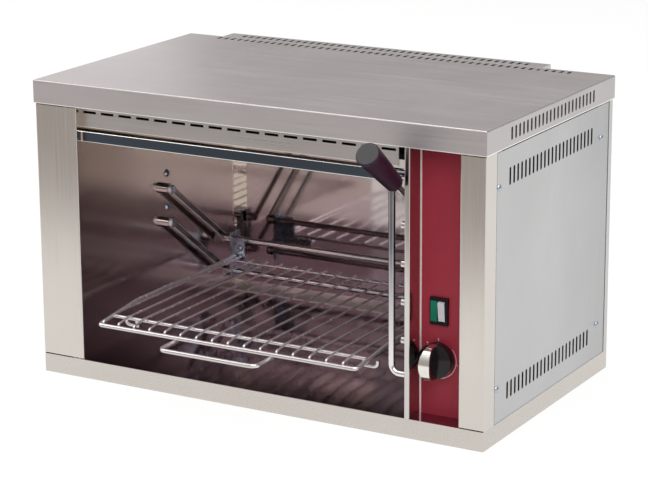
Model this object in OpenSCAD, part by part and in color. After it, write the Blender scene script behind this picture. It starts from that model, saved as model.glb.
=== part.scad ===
// Salamander grill: a stainless cabinet with a front cavity, a heater in its roof,
// and a wire rack that a hand lever raises on a pair of parallel arms.
// +X is right, +Y is back, +Z is up. The origin is the middle of the base's underside.

/* [Cabinet] */
// Width of the cabinet
body_w = 600; // [560:1:720]
// Depth of the cabinet without the rear vent box
body_d = 345; // [335:1:420]
// Height over the top cap
body_h = 366; // [350:1:440]
// Height of the base pan
base_h = 23; // [18:0.5:32]
// Thickness of the folded sheet
sheet = 1.2; // [0.8:0.1:1.5]
// Inner radius of the folds
fold_r = 0.6; // [0.4:0.1:1]
// Height of the cap's down-turned flanges
cap_flange_h = 28.5; // [24:0.5:32]
// Width of the left front pillar
left_pillar_w = 59; // [45:1:70]
// Width of the right front pillar
right_pillar_w = 31.4; // [26:0.2:36]
// Width of the pillars' strip along each side
side_strip_w = 27; // [20:1:34]
// Seam above and below the pillars' front
pillar_seam = 1.4; // [0.6:0.1:2]
// Width of the rear posts' strip along each side
rear_strip_w = 11; // [8:1:16]
// Width of the rear posts' leg along the back
post_leg_w = 20; // [14:1:26]
// Width of the ledge that carries the floor plate
floor_ledge_w = 10; // [6:1:16]

/* [Side panels] */
// How far a side panel lies inside the cabinet's outer face
side_panel_inset = 0.4; // [0.2:0.1:0.5]
// Gap round a side panel
side_panel_gap = 1.6; // [0.2:0.1:2]
// Gap between a side panel and the cap's flange
side_panel_top_gap = 2; // [0.5:0.1:4]
// Reach of the screw tabs behind a side panel
tab_reach = 15; // [12:1:20]
// Distance of the front screws behind the front strip
side_screw_front = 6.5; // [5.5:0.5:7]
// Distance of the rear screws ahead of the rear strip
side_screw_rear = 22.5; // [8:0.5:26]
// Height of the lower screws over the base pan
side_screw_rise = 41; // [30:1:60]
// Distance of the upper screws below the cap's flange
side_screw_drop = 41.5; // [30:0.5:60]
// Diameter of a screw's shank
screw_d = 4; // [3:0.5:5]
// Diameter of a screw's head
screw_head_d = 8; // [6.5:0.5:9]
// Height of a screw's head
screw_head_h = 2.8; // [2:0.1:3.5]
// Room round a screw's shank
screw_clear = 0.2; // [0.1:0.05:0.4]

/* [Vent slots] */
// Width of a vent slot
slot_w = 4.4; // [3:0.1:6]
// Spacing of the vent slots
slot_pitch = 10.1; // [9:0.1:11]
// Distance of the side rows' end slots from the cabinet's corners
side_slot_edge = 60; // [48:1:90]
// Length of the side panels' slots
side_slot_len = 20.5; // [14:0.5:24]
// Height of the side panels' bottom row over the base pan
side_slot_rise = 21.5; // [14:0.5:30]
// Distance of the side panels' top row below the cap's flange
side_slot_drop = 23.8; // [14:0.2:30]
// Length of the slots in the cap's side flanges
cap_slot_len = 15; // [10:0.5:17]
// Distance of the cap's end slots from the cabinet's corners
top_slot_edge = 52; // [40:1:90]
// Length of the cap's rear slots
top_slot_len = 13; // [8:1:16]
// Distance of the rear slots from the cabinet's back
top_slot_back = 11; // [10:0.5:16]
// Distance of the rear vent box's end slots from its sides
box_slot_edge = 24; // [16:1:60]
// Length of the rear vent box's slots
box_slot_len = 13; // [8:1:15]

/* [Cavity] */
// Distance from the cavity's right wall to the cabinet's right side
control_w = 100; // [96:1:112]
// Width of the right wall's folded front edge
wall_fold_w = 7; // [5:0.5:9]
// How far the rear vent box stands out
box_d = 25.5; // [23:0.5:34]
// Distance of the vent box's left side beyond the cavity
box_side_gap = 9; // [6:0.5:14]
// Distance of the vent box's right side beyond the cavity
box_right_gap = 6; // [5:0.5:6.5]
// Gap between the cavity's back wall and the vent box
back_gap = 1.6; // [1:0.1:5]

/* [Heater] */
// How far the valance and the heater rail are set back
valance_recess = 11; // [10.6:0.1:14]
// Distance of the valance's lower edge below the cap's top
valance_drop = 54; // [48:1:56]
// Free width for the lever beside the valance
lever_gap = 12.5; // [12.3:0.1:15]
// Distance of the valance's end slots from its ends
valance_slot_edge = 2.5; // [2:0.1:12]
// Length of the valance's slots
valance_slot_len = 18; // [12:0.5:20]
// Height of the valance's slots
valance_slot_h = 3; // [2:0.1:4]
// Spacing of the valance's slots
valance_slot_pitch = 25.2; // [24:0.1:25.4]
// Distance of the middle of the valance's slots below the cap's top
valance_slot_drop = 35.5; // [31:0.5:44]
// Height of the heater rail
rail_h = 13.6; // [10:0.2:16]
// Distance of the heater rail below the cap's top
rail_drop = 59; // [57:0.5:64]
// Depth of the heater rail
rail_depth = 12; // [8:0.5:16]
// Distance of the heat reflector below the cap's top
reflector_drop = 32; // [30:0.5:36]
// Depth of the reflector's lips
reflector_lip = 17; // [10:1:20]
// Diameter of a heating element
element_d = 8.5; // [6.5:0.5:10]
// Spacing of the heating element's runs
element_pitch = 62; // [50:1:70]
// Number of the hairpin elements
hairpin_n = 2; // [1:1:2]
// Distance of the heating elements below the reflector
element_drop = 16; // [12:0.5:24]
// Distance of the elements' bends from the left wall
element_in = 45; // [40:1:80]
// Distance of the hangers from the elements' ends
hanger_in = 45; // [20:1:80]
// Diameter of an element's bush
bush_d = 16; // [14:0.5:20]
// Length of an element's bush
bush_len = 10; // [6:1:14]
// Thickness of an element hanger
hanger_t = 2; // [1.5:0.1:3]
// Room round the elements in their hangers
element_clear = 0.2; // [0.1:0.05:0.4]

/* [Controls] */
// How far the control panel is set back
recess_depth = 28; // [24:1:32]
// Thickness of the control panel
control_panel_t = 1.5; // [1:0.1:2]
// Distance of the knob from the recess's left wall
knob_in = 22.5; // [21.5:0.5:26]
// Height of the knob's axis over the base pan
knob_rise = 67; // [56:1:78]
// Diameter of the knob's skirt
knob_d = 41; // [34:0.5:43]
// Height of the knob's skirt at its edge
knob_skirt_h = 10; // [5:0.5:12]
// Height of the dome on the skirt
knob_dome_h = 5; // [3:0.5:7]
// Height of the half-moon's centre over the skirt's edge
knob_rim_up = 5.5; // [0:0.5:6]
// Width of the knob's half-moon grip in its middle
knob_grip_w = 13.6; // [10:0.2:16]
// Width of the knob's half-moon grip at its ends
knob_grip_end_w = 6.2; // [5:0.2:9.8]
// Thickness of the trim along the half-moon's rim
knob_trim_t = 1.6; // [1:0.1:2.5]
// Gap between the knob and the panel
knob_gap = 0.6; // [0.4:0.1:1]
// Diameter of the regulator's shaft
shaft_d = 6; // [5:0.5:8]
// How far the shaft reaches into the half-moon
shaft_grip = 4; // [2:0.5:8]
// Room round the shaft in the panel
shaft_room = 2; // [0.5:0.1:4]
// Width of the regulator's body
regulator_w = 34; // [26:1:40]
// Height of the regulator's body
regulator_h = 42; // [34:1:50]
// Depth of the regulator's body
regulator_d = 30; // [24:1:40]
// Distance of the switch from the recess's left wall
switch_in = 24; // [20:0.5:26]
// Height of the switch's middle over the base pan
switch_rise = 124; // [116:1:200]
// Width of the switch's bezel
bezel_w = 22.5; // [21.6:0.1:24]
// Height of the switch's bezel
bezel_h = 32; // [31:0.5:36]
// How far the bezel stands out
bezel_t = 3; // [2:0.1:3.2]
// Width of the lens and of the rocker
switch_key_w = 8; // [7:0.1:8.2]
// Distance of the lens and the rocker left of the bezel's middle
switch_key_off = 1.2; // [0:0.1:1.3]
// Width of the bar between the lens and the rocker
switch_bar_w = 1.2; // [1:0.1:2]
// Height of the lens and of the rocker
switch_key_h = 24; // [22:0.2:25]
// Room round the lens and the rocker
key_clear = 0.3; // [0.25:0.05:0.4]
// How far the switch's body is smaller than its bezel, all round
switch_rim = 1.6; // [1.2:0.1:1.8]
// Depth of the switch's body behind the panel
switch_body_d = 24; // [20:1:30]
// Tilt of the rocker at rest
rocker_tilt = 8; // [5:0.5:10]
// Distance of the rocker's face from its axis
rocker_face = 5; // [4.4:0.1:6]

/* [Rack lift] */
// Distance of the arms' pivots ahead of the cavity's back wall
pivot_back = 181; // [178:1:190]
// Height of the upper pivots over the base pan
pivot_up = 175; // [170:1:180]
// Height of the upper pivots over the lower ones
pivot_rise = 44; // [38:1:48]
// Length of an arm between its pivots
arm_len = 157; // [148:1:162]
// Angle of the arms below the level at rest
arm_angle = 36.5; // [34:0.5:37]
// Width of an arm
arm_w = 9; // [8:0.5:10]
// Thickness of an arm
arm_t = 4; // [3.5:0.5:5.5]
// Diameter of an arm's eye
eye_d = 11; // [10.5:0.5:16]
// Distance of the left arms from the left wall
left_boss_len = 9.2; // [7:0.2:16]
// Distance of the right arms from the right wall
right_boss_len = 5.5; // [5.3:0.1:6]
// Diameter of a pivot boss
boss_d = 14; // [12:0.5:16]
// Diameter of a pivot pin
pin_d = 8; // [6:0.5:9]
// Diameter of a pivot screw's head
pivot_head_d = 10; // [9:0.5:14]
// Thickness of a pivot screw's head
pivot_head_h = 1.2; // [1:0.1:3]
// Radial clearance of a running fit
run_clear = 0.05; // [0.02:0.01:0.09]
// End play beside a running part
end_play = 0.2; // [0.1:0.05:0.3]
// Distance of the wall screws above their pivots
wall_screw_rise = 18.5; // [15:0.5:21]
// Distance of the wall screws behind their pivots
wall_screw_back = 6; // [0:0.5:10]
// Diameter of a wall screw's head
wall_head_d = 10; // [8:0.5:11]
// Height of a wall screw's head
wall_head_h = 3.6; // [2.5:0.1:4]
// Diameter of a cross rod
rod_d = 8; // [6:0.5:9]
// Diameter of a cross rod's shoulder
shoulder_d = 13; // [11:0.5:15]
// Distance from an arm to its bracket
bracket_play = 10.8; // [8:0.1:12]
// Thickness of a bracket
bracket_t = 3; // [2:0.5:4]
// Width of a bracket's front plate
bracket_w = 22; // [18:0.5:26]
// Height of a bracket's front plate over the upper cross rod
bracket_top = 4; // [2:0.5:8]
// Reach of a bracket round its rods
bracket_reach = 10; // [8.5:0.5:11]
// Distance of a bracket's front plate ahead of its rods
bracket_front = 11.2; // [10:0.2:14]
// Distance of the upper bracket bolts below the upper cross rod
bolt_drop = 8; // [6:0.5:10]
// Spacing of the bracket bolts
bolt_pitch = 12; // [9:0.5:12.5]
// Distance of the bracket bolts from the front plate's inner edge
bolt_in = 6; // [5:0.5:9]

/* [Lever] */
// How far the grip's base stands ahead of the cabinet
grip_ahead = 6.6; // [6:0.2:20]
// Length of the grip
grip_len = 80; // [60:1:100]
// Diameter of the grip at the lever
grip_d = 21; // [18:0.5:24]
// Diameter of the grip at its outer end
grip_end_d = 28.5; // [24:0.5:32]
// Rounding of the grip at the lever
grip_base_edge = 5; // [3:0.5:6]
// Rounding of the grip at its outer end
grip_edge = 3; // [1:0.5:6]
// Diameter of the tang inside the grip
tang_d = 6; // [5:0.5:8]
// Length of the tang inside the grip
tang_len = 45; // [30:1:55]
// Diameter of the guide rod
guide_d = 8; // [6:0.5:9]
// Distance of the guide rod from the right wall
guide_in = 18.6; // [18:0.2:22]
// Distance of the guide rod behind the cabinet's front
guide_back = 6.5; // [5:0.1:6.6]
// Bend radius of the guide rod
guide_bend = 10.5; // [10:0.5:16]
// Height of the guide rod's lower end over the base pan
guide_rise = 50; // [40:1:64]
// Height of the guide rod's upper end over the raised lever
guide_head = 19.5; // [18:0.5:26]
// Number of stop studs
stud_n = 4; // [2:1:5]
// Height of the lowest stop stud over the base pan
stud_rise = 90.5; // [80:0.5:100]
// Spacing of the stop studs
stud_pitch = 44.5; // [36:0.5:46]
// Diameter of a stop stud
stud_d = 9; // [6:0.5:10]
// Gap between the lever and the stop studs
stud_gap = 0.5; // [0.3:0.1:1]

/* [Rack] */
// Distance of the rack's left side wire from the left wall
rack_left = 33; // [31:0.5:50]
// Distance of the rack's right side wire from the right wall
rack_right = 54; // [50:0.5:70]
// Number of the rack's long wires
rack_wire_n = 16; // [8:1:18]
// Distance of the first long wire from the left side wire
first_wire_in = 6.8; // [6.4:0.1:10]
// Distance of the last long wire from the right side wire
last_wire_in = 17.2; // [12:0.2:22]
// Diameter of the rack's long wires
rack_wire_d = 3; // [2.6:0.2:4]
// Diameter of the rack's cross wires
cross_wire_d = 4.6; // [4:0.2:6]
// Diameter of the wire of the rack's frame
frame_d = 5.2; // [4.8:0.2:5.2]
// Bend radius of the frame's front corners
frame_bend = 5.5; // [4:0.5:6]
// Angle at which the side wires rise behind the front corners
slope_angle = 6.5; // [6:0.5:9]
// How much thicker the rack's wires are where they are bent out of level
crook_over = 0.6; // [0.4:0.1:1.2]
// Length of the slope at the front of the long wires
dip_in = 22; // [18:0.5:22]
// Height of the long wires' front ends over the front wire
tooth_rise = 5.2; // [5.1:0.1:5.6]
// Height of the rack's long wires over the lower cross rod
rack_rise = 23.6; // [23:0.2:28]
// How far the rack's frame stands ahead of the cabinet
rack_ahead = 12.5; // [8:0.5:20]
// Gap between the rack and its brackets
rack_gap = 4; // [3:0.5:24]
// Drop from the long wires to the frame's front
rack_drop = 8; // [8:0.1:10]
// Bend radius at the long wires' front ends
rack_bend = 2.4; // [2.2:0.1:2.4]
// Distance of the front cross wire behind the frame's front
cross_in = 28; // [26.5:0.5:28]
// Width of the rack's handle
handle_w = 132; // [90:1:160]
// Distance of the handle's middle to the left of the rack's
handle_off = 2; // [0:0.5:6]
// Reach of the rack's handle
handle_reach = 34; // [28:1:44]
// Bend radius of the rack's handle
handle_bend = 9; // [6:0.5:12]
// Diameter of the support rods and of their hooks
support_d = 5; // [4:0.2:6]
// Gap between the rack and its support rods
rack_seat = 0.3; // [0.2:0.05:0.4]
// Distance of the left support rod from the left side wire
support_left = 34; // [30:0.5:38]
// Distance of the right support rod from the right side wire
support_right = 7; // [6.5:0.1:7.5]
// Distance of the hooks behind the frame's front
support_back = 34; // [34:1:44]
// Reach of a hook outside its support rod
hook_out = 16.5; // [16:0.5:18]
// Bend radius of a hook
hook_bend = 5; // [4:0.5:6]
// Height of a hook's upturned end
hook_h = 8; // [7:0.5:10]

/* [Wiring] */
// Width of the terminal block
block_w = 46; // [36:1:52]
// Depth of the terminal block
block_d = 22; // [18:1:28]
// Height of the terminal block
block_h = 20; // [14:1:26]
// Distance of the terminal block ahead of the back panel
block_back = 60; // [40:1:80]
// Diameter of the cable gland
gland_d = 20; // [16:0.5:24]
// Bore of the cable gland
gland_bore = 9; // [7:0.5:11]
// Wall of the cable gland's neck
gland_wall = 1.5; // [1:0.1:3]
// Thickness of the cable gland's nut
gland_nut = 4; // [3:0.5:6]
// How far the cable gland stands out
gland_out = 14; // [10:1:20]
// Height of the cable gland over the floor
gland_rise = 30; // [20:1:45]

/* [Hidden] */
$fn = 48;
// Overlap that makes a cut run clean through
eps = 1;

// Planes of the cabinet
side_x = body_w / 2;
front_y = -body_d / 2;
back_y = body_d / 2;
roof_z = body_h - sheet;
flange_z = body_h - cap_flange_h;
strip_y = front_y + side_strip_w;
post_y = back_y - rear_strip_w;
side_panel_t = sheet - side_panel_inset;
bend_r = sheet + fold_r;
screw_y0 = strip_y + side_screw_front;
screw_y1 = post_y - side_screw_rear;
screw_z0 = base_h + side_screw_rise;
screw_z1 = flange_z - side_screw_drop;
slot_z0 = base_h + side_slot_rise;
slot_z1 = flange_z - side_slot_drop - side_slot_len;
side_slot_n = fit_count(body_d - 2 * side_slot_edge, slot_pitch);
top_slot_n = fit_count(body_w - 2 * top_slot_edge, slot_pitch);
function fit_count(room, pitch) = floor(room / pitch) + 1;

// Planes of the cavity
cavity_x0 = -side_x + left_pillar_w;
cavity_x1 = side_x - control_w;
fold_x = cavity_x1 + wall_fold_w;
box_y = back_y + box_d;
cavity_y1 = box_y - sheet - back_gap - sheet;
box_x0 = cavity_x0 - box_side_gap;
box_x1 = cavity_x1 + box_right_gap;
box_slot_n = fit_count(box_x1 - box_x0 - 2 * box_slot_edge, slot_pitch);

// Planes of the heater
valance_y = front_y + valance_recess;
valance_x1 = cavity_x1 - lever_gap;
valance_z = body_h - valance_drop;
valance_slot_z = body_h - valance_slot_drop;
valance_room = valance_x1 - cavity_x0 - valance_slot_len - 2 * valance_slot_edge;
valance_slot_n = fit_count(valance_room, valance_slot_pitch);
rail_back = valance_y + rail_depth;
rail_z = body_h - rail_drop - rail_h;
reflector_z = body_h - reflector_drop;
element_z = reflector_z - element_drop;
element_run_n = 2 * hairpin_n;
element_x0 = cavity_x0 + element_in;
element_x1 = cavity_x1 - bush_len;
element_mid_y = (rail_back + cavity_y1) / 2;
hanger_drop = element_d;
function element_y(i) = element_mid_y + (i - (element_run_n - 1) / 2) * element_pitch;

// Planes and axes of the controls
panel_y = front_y + recess_depth;
recess_x1 = side_x - right_pillar_w;
knob_x = fold_x + knob_in;
knob_z = base_h + knob_rise;
switch_z = base_h + switch_rise;
switch_x = fold_x + switch_in;
lens_x = switch_x - switch_key_off - (switch_key_w + switch_bar_w) / 2;
rocker_x = switch_x - switch_key_off + (switch_key_w + switch_bar_w) / 2;
rocker_y = panel_y + 1;
rocker_r = switch_key_h / 2;
knob_back_y = panel_y - knob_gap;
knob_r = knob_d / 2;
knob_dome_r = (pow(knob_r, 2) + pow(knob_dome_h, 2)) / (2 * knob_dome_h);
lens_sag = (knob_grip_w - knob_grip_end_w) / 2;
lens_r = (pow(knob_r, 2) + pow(lens_sag, 2)) / (2 * lens_sag);
shaft_in = knob_skirt_h + shaft_grip;

// Axes of the rack lift
pivot_y = cavity_y1 - pivot_back;
pivot_z = base_h + pivot_up;
lower_pivot_z = pivot_z - pivot_rise;
rear_y = pivot_y + arm_len * cos(arm_angle);
rear_z = pivot_z - arm_len * sin(arm_angle);
rear_low_z = rear_z - pivot_rise;
left_arm_x = cavity_x0 + left_boss_len;
right_arm_x = cavity_x1 - right_boss_len - arm_t;
left_bracket_x = left_arm_x + arm_t + bracket_play;
right_bracket_x = right_arm_x - bracket_play - bracket_t;
shoulder_len = bracket_play - rack_seat;

// Axes of the lever
guide_x = cavity_x1 - guide_in;
guide_y = front_y + guide_back;
guide_low_z = base_h + guide_rise;
guide_high_z = lower_pivot_z + (pivot_y - guide_y) * tan(arm_angle) + guide_head;
lever_len = (pivot_y - front_y + grip_ahead) / cos(arm_angle);
stud_z = base_h + stud_rise;
stud_len = right_boss_len - stud_gap;

// Axes of the rack and of its carriage
rack_x0 = cavity_x0 + rack_left;
rack_x1 = cavity_x1 - rack_right;
rack_x = (rack_x0 + rack_x1) / 2;
first_wire_x = rack_x0 + first_wire_in;
rack_pitch = (rack_x1 - last_wire_in - first_wire_x) / (rack_wire_n - 1);
bracket_y = rear_y - bracket_front;
rack_y0 = front_y - rack_ahead;
rack_y1 = bracket_y - rack_gap;
rack_z = rear_low_z + rack_rise;
front_wire_z = rack_z - rack_drop;
cross_z = rack_z - (rack_wire_d + cross_wire_d) / 2;
side_wire_z = cross_z + (cross_wire_d + frame_d) / 2;
slope_len = (side_wire_z - front_wire_z) / sin(slope_angle);
slope_y1 = rack_y0 + slope_len * cos(slope_angle);
dip_y = rack_y0 + dip_in;
dip_dy = dip_in - rack_bend;
dip_dz = rack_drop - tooth_rise;
tooth_z = front_wire_z + tooth_rise;
support_z = cross_z - cross_wire_d / 2 - rack_seat - support_d / 2;
support_wire_z = support_z - support_d;
support_y = rack_y0 + support_back;
support_x0 = rack_x0 + support_left;
support_x1 = rack_x1 - support_right;
handle_z = front_wire_z - frame_d;
bolt_z = [rear_z - bolt_drop, rear_z - bolt_drop - bolt_pitch];

stainless = "#b9b6b1";
polished = "#a39c93";
chrome = "#d5d6d8";
zinc = "#aab3bb";
black = "#1d1b1d";
ceramic = "#e6e2d8";

// Box between two corners
module block(low, high) {
    translate(low) cube(high - low);
}

// Outline drawn in the YZ plane, as thick as t from x on
module across(x, t) {
    translate([x, 0, 0]) rotate([90, 0, 90]) linear_extrude(t) children();
}

// Outline drawn in the XZ plane, as thick as t from y on towards the back
module along(y, t) {
    translate([0, y + t, 0]) rotate([90, 0, 0]) linear_extrude(t) children();
}

// Round bars along the three axes
module bar_x(x0, x1, y, z, d) {
    translate([x0, y, z]) rotate([0, 90, 0]) cylinder(h = x1 - x0, d = d);
}
module bar_y(x, y0, y1, z, d) {
    translate([x, y0, z]) rotate([-90, 0, 0]) cylinder(h = y1 - y0, d = d);
}
module bar_z(x, y, z0, z1, d) {
    translate([x, y, z0]) cylinder(h = z1 - z0, d = d);
}

// Right-angled bend of a round bar in the XY plane, about the origin, from +X on
module quarter_bend(r, d) {
    rotate_extrude(angle = 90) translate([r, 0]) circle(d = d);
}

// Rectangle between two corners, with all its corners rounded
module soft_rect(low, high, r) {
    size = high - low;
    translate(low + [r, 0]) square(size - [2 * r, 0]);
    translate(low + [0, r]) square(size - [0, 2 * r]);
    for (x = [low[0] + r, high[0] - r], y = [low[1] + r, high[1] - r])
        translate([x, y]) circle(r = r);
}

// Rectangle between two corners, with its upper corners rounded
module soft_top_rect(low, high, r) {
    size = high - low;
    translate(low) square(size - [0, r]);
    translate(low + [r, 0]) square(size - [2 * r, 0]);
    for (x = [low[0] + r, high[0] - r])
        translate([x, high[1] - r]) circle(r = r);
}

// Folded channel in plan, open at the back: its front is at low and its legs end at high
module channel(low, high) {
    difference() {
        soft_rect(low, high + [0, body_d / 4], bend_r);
        soft_rect(low + [sheet, sheet], high + [-sheet, body_d / 2], fold_r);
        translate([low[0] - eps, high[1]]) square([high[0] - low[0] + 2 * eps, body_d]);
    }
}

// Stretch of an outline in plan, as high as the pillars
module upright() {
    translate([0, 0, base_h]) linear_extrude(roof_z - base_h) children();
}

// Upright slot with round ends, from the origin upwards
module upright_slot(w, len) {
    translate([-w / 2, w / 2]) square([w, len - w]);
    translate([0, w / 2]) circle(d = w);
    translate([0, len - w / 2]) circle(d = w);
}

// Row of upright slots, centred on the origin
module slot_row(n, pitch, w, len) {
    for (i = [0 : n - 1])
        translate([(i - (n - 1) / 2) * pitch, 0]) upright_slot(w, len);
}

// Dome head along +Z with its seat at the origin
module dome_head(d = screw_head_d, h = screw_head_h) {
    dome_r = (pow(d / 2, 2) + pow(h, 2)) / (2 * h);
    rotate_extrude() intersection() {
        translate([0, h - dome_r]) circle(r = dome_r);
        square([d, h]);
    }
}

// Dome-headed screw along +Z with its seat at the origin
module dome_screw(shank_len) {
    dome_head();
    translate([0, 0, -shank_len]) cylinder(h = shank_len, d = screw_d);
}

// Places of a side panel's screws in the YZ plane
module at_side_screws() {
    for (y = [screw_y0, screw_y1], z = [screw_z0, screw_z1])
        translate([y, z]) children();
}

module base_pan() {
    corner = [side_x, back_y];
    inner = corner - [sheet, sheet];
    color(stainless) {
        linear_extrude(sheet) soft_rect(-corner, corner, bend_r);
        linear_extrude(base_h) difference() {
            soft_rect(-corner, corner, bend_r);
            soft_rect(-inner, inner, fold_r);
        }
        translate([0, 0, base_h - 2 * sheet]) linear_extrude(sheet) difference() {
            soft_rect(-corner, corner, bend_r);
            square(2 * (inner - [floor_ledge_w, floor_ledge_w]), center = true);
        }
    }
}

module floor_plate() {
    corner = [side_x - sheet, back_y - sheet];
    color(polished) translate([0, 0, base_h - sheet])
        linear_extrude(sheet) soft_rect(-corner, corner, fold_r);
}

// Screw tab behind the right side panel, and its weld to the strip from weld_y0 to weld_y1
module screw_tab(y0, y1, weld_y0, weld_y1) {
    across(side_x - 2 * sheet, sheet) difference() {
        translate([y0, base_h]) square([y1 - y0, roof_z - base_h]);
        at_side_screws() circle(d = screw_d + 2 * screw_clear);
    }
    block([side_x - 1.5 * sheet, weld_y0, base_h], [side_x - sheet / 2, weld_y1, roof_z]);
}

module front_tab() {
    screw_tab(strip_y - tab_reach, screw_y0 + tab_reach / 2, strip_y - tab_reach, strip_y);
}

// Seams of a pillar's front, to the cap and to the base pan, from x to the cabinet's side
module pillar_seams(x) {
    for (z = [[base_h - eps, base_h + pillar_seam], [flange_z - pillar_seam, roof_z + eps]])
        block([x - eps, front_y - eps, z[0]], [side_x + eps, front_y + bend_r, z[1]]);
}

module left_front_pillar() {
    color(stainless) mirror([1, 0, 0]) {
        difference() {
            upright() difference() {
                channel([-cavity_x0, front_y], [side_x, strip_y]);
                translate([-cavity_x0 - eps, front_y + bend_r]) square([eps + bend_r, side_strip_w]);
            }
            pillar_seams(-cavity_x0);
        }
        front_tab();
    }
}

module right_front_pillar() {
    recess_back = panel_y + control_panel_t;
    color(stainless) {
        difference() {
            upright() difference() {
                channel([recess_x1, front_y], [side_x, recess_back]);
                translate([side_x - bend_r, strip_y]) square([bend_r + eps, side_strip_w]);
            }
            pillar_seams(recess_x1);
        }
        front_tab();
    }
}

module rear_post() {
    upright() difference() {
        mirror([0, 1]) channel([side_x - 2 * post_leg_w, -back_y], [side_x, -post_y]);
        translate([side_x - 3 * post_leg_w, 0]) square([2 * post_leg_w, body_d]);
    }
    tab_back = back_y - sheet - fold_r;
    screw_tab(screw_y1 - tab_reach / 2, tab_back, post_y, tab_back);
}

module left_rear_post() {
    color(stainless) mirror([1, 0, 0]) rear_post();
}

module right_rear_post() {
    color(stainless) rear_post();
}

module side_panel() {
    across(side_x - sheet, side_panel_t) difference() {
        translate([strip_y + side_panel_gap, base_h])
            square([post_y - strip_y - 2 * side_panel_gap, flange_z - side_panel_top_gap - base_h]);
        for (z = [slot_z0, slot_z1])
            translate([0, z]) slot_row(side_slot_n, slot_pitch, slot_w, side_slot_len);
        at_side_screws() circle(d = screw_d + 2 * screw_clear);
    }
}

module left_side_panel() {
    color(stainless) mirror([1, 0, 0]) side_panel();
}

module right_side_panel() {
    color(stainless) side_panel();
}

module side_panel_screws() {
    shank = sheet + side_panel_t + 2;
    color(zinc) for (s = [0, 1]) mirror([s, 0, 0])
        translate([side_x - side_panel_inset, 0, 0])
            rotate([90, 0, 90]) at_side_screws() dome_screw(shank);
}

module back_panel_left() {
    color(stainless)
        block([-side_x + post_leg_w, back_y - sheet, base_h], [cavity_x0 - sheet, back_y, roof_z]);
}

module back_panel_right() {
    color(stainless) difference() {
        block([cavity_x1 + sheet, back_y - sheet, base_h], [side_x - post_leg_w, back_y, roof_z]);
        bar_y(gland_x(), back_y - sheet - eps, back_y + eps, gland_z(), gland_bore + 2 * gland_wall);
    }
}

module rear_vent_box() {
    box_front = back_y + sheet;
    slot_y = (box_front + box_y - sheet - box_slot_len) / 2;
    color(stainless) {
        block([box_x0, box_y - sheet, base_h], [box_x1, box_y, body_h]);
        block([box_x0, box_front, base_h], [box_x0 + sheet, box_y - sheet, body_h]);
        block([box_x1 - sheet, box_front, base_h], [box_x1, box_y - sheet, body_h]);
        block([box_x0, back_y, base_h], [box_x1, box_y - sheet, base_h + sheet]);
        block([box_x0, back_y, base_h], [cavity_x0 - sheet, box_front, flange_z]);
        block([cavity_x1 + sheet, back_y, base_h], [box_x1, box_front, flange_z]);
        difference() {
            block([box_x0, box_front, body_h - sheet], [box_x1, box_y - sheet, body_h]);
            translate([(box_x0 + box_x1) / 2, slot_y, body_h - sheet - eps])
                linear_extrude(sheet + 2 * eps)
                    slot_row(box_slot_n, slot_pitch, slot_w, box_slot_len);
        }
    }
}

module top_cap() {
    cap_x = side_x + sheet;
    cap_y = back_y + sheet;
    cap_slot_z = flange_z + (cap_flange_h - cap_slot_len) / 2;
    color(stainless) difference() {
        intersection() {
            across(-cap_x, 2 * cap_x) soft_top_rect([-cap_y, flange_z], [cap_y, body_h], bend_r);
            along(-cap_y, 2 * cap_y) soft_top_rect([-cap_x, flange_z], [cap_x, body_h], bend_r);
        }
        block([-side_x, front_y, flange_z - eps], [side_x, back_y, roof_z]);
        translate([0, back_y - top_slot_back - top_slot_len / 2, roof_z - eps])
            linear_extrude(sheet + 2 * eps) slot_row(top_slot_n, slot_pitch, slot_w, top_slot_len);
        across(-cap_x - eps, 2 * cap_x + 2 * eps)
            translate([0, cap_slot_z]) slot_row(side_slot_n, slot_pitch, slot_w, cap_slot_len);
    }
}

module cavity_left_wall() {
    color(polished) {
        block([cavity_x0 - sheet, front_y + bend_r, base_h], [cavity_x0, back_y, roof_z]);
        block([cavity_x0 - sheet, back_y, base_h + sheet], [cavity_x0, cavity_y1, flange_z]);
    }
}

module cavity_right_wall() {
    color(polished) {
        upright() channel([cavity_x1, front_y], [fold_x, back_y - sheet]);
        block([cavity_x1, back_y - sheet, base_h], [cavity_x1 + sheet, back_y, roof_z]);
        block([cavity_x1, back_y, base_h + sheet], [cavity_x1 + sheet, cavity_y1, flange_z]);
    }
}

module cavity_back_wall() {
    color(polished)
        block([cavity_x0 - sheet, cavity_y1, base_h + sheet],
            [cavity_x1 + sheet, cavity_y1 + sheet, flange_z]);
}

module valance() {
    slots_mid = (cavity_x0 + valance_x1) / 2;
    color(stainless) along(valance_y, sheet) difference() {
        translate([cavity_x0, valance_z]) square([valance_x1 - cavity_x0, roof_z - valance_z]);
        for (i = [0 : valance_slot_n - 1])
            translate([slots_mid + (i - (valance_slot_n - 1) / 2) * valance_slot_pitch, valance_slot_z])
                square([valance_slot_len, valance_slot_h], center = true);
    }
}

module heater_rail() {
    low = [valance_y, rail_z];
    high = [rail_back, rail_z + rail_h];
    color(polished) across(cavity_x0, valance_x1 - cavity_x0) difference() {
        soft_rect(low, high + [rail_depth, 0], bend_r);
        soft_rect(low + [sheet, sheet], high + [2 * rail_depth, -sheet], fold_r);
        translate([rail_back, rail_z - eps]) square([2 * rail_depth, rail_h + 2 * eps]);
    }
}

module heat_reflector() {
    color(polished) {
        block([cavity_x0, rail_back, reflector_z], [cavity_x1, cavity_y1, reflector_z + sheet]);
        for (y = [rail_back, cavity_y1 - sheet])
            block([cavity_x0, y, reflector_z - reflector_lip], [cavity_x1, y + sheet, reflector_z]);
    }
}

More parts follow.
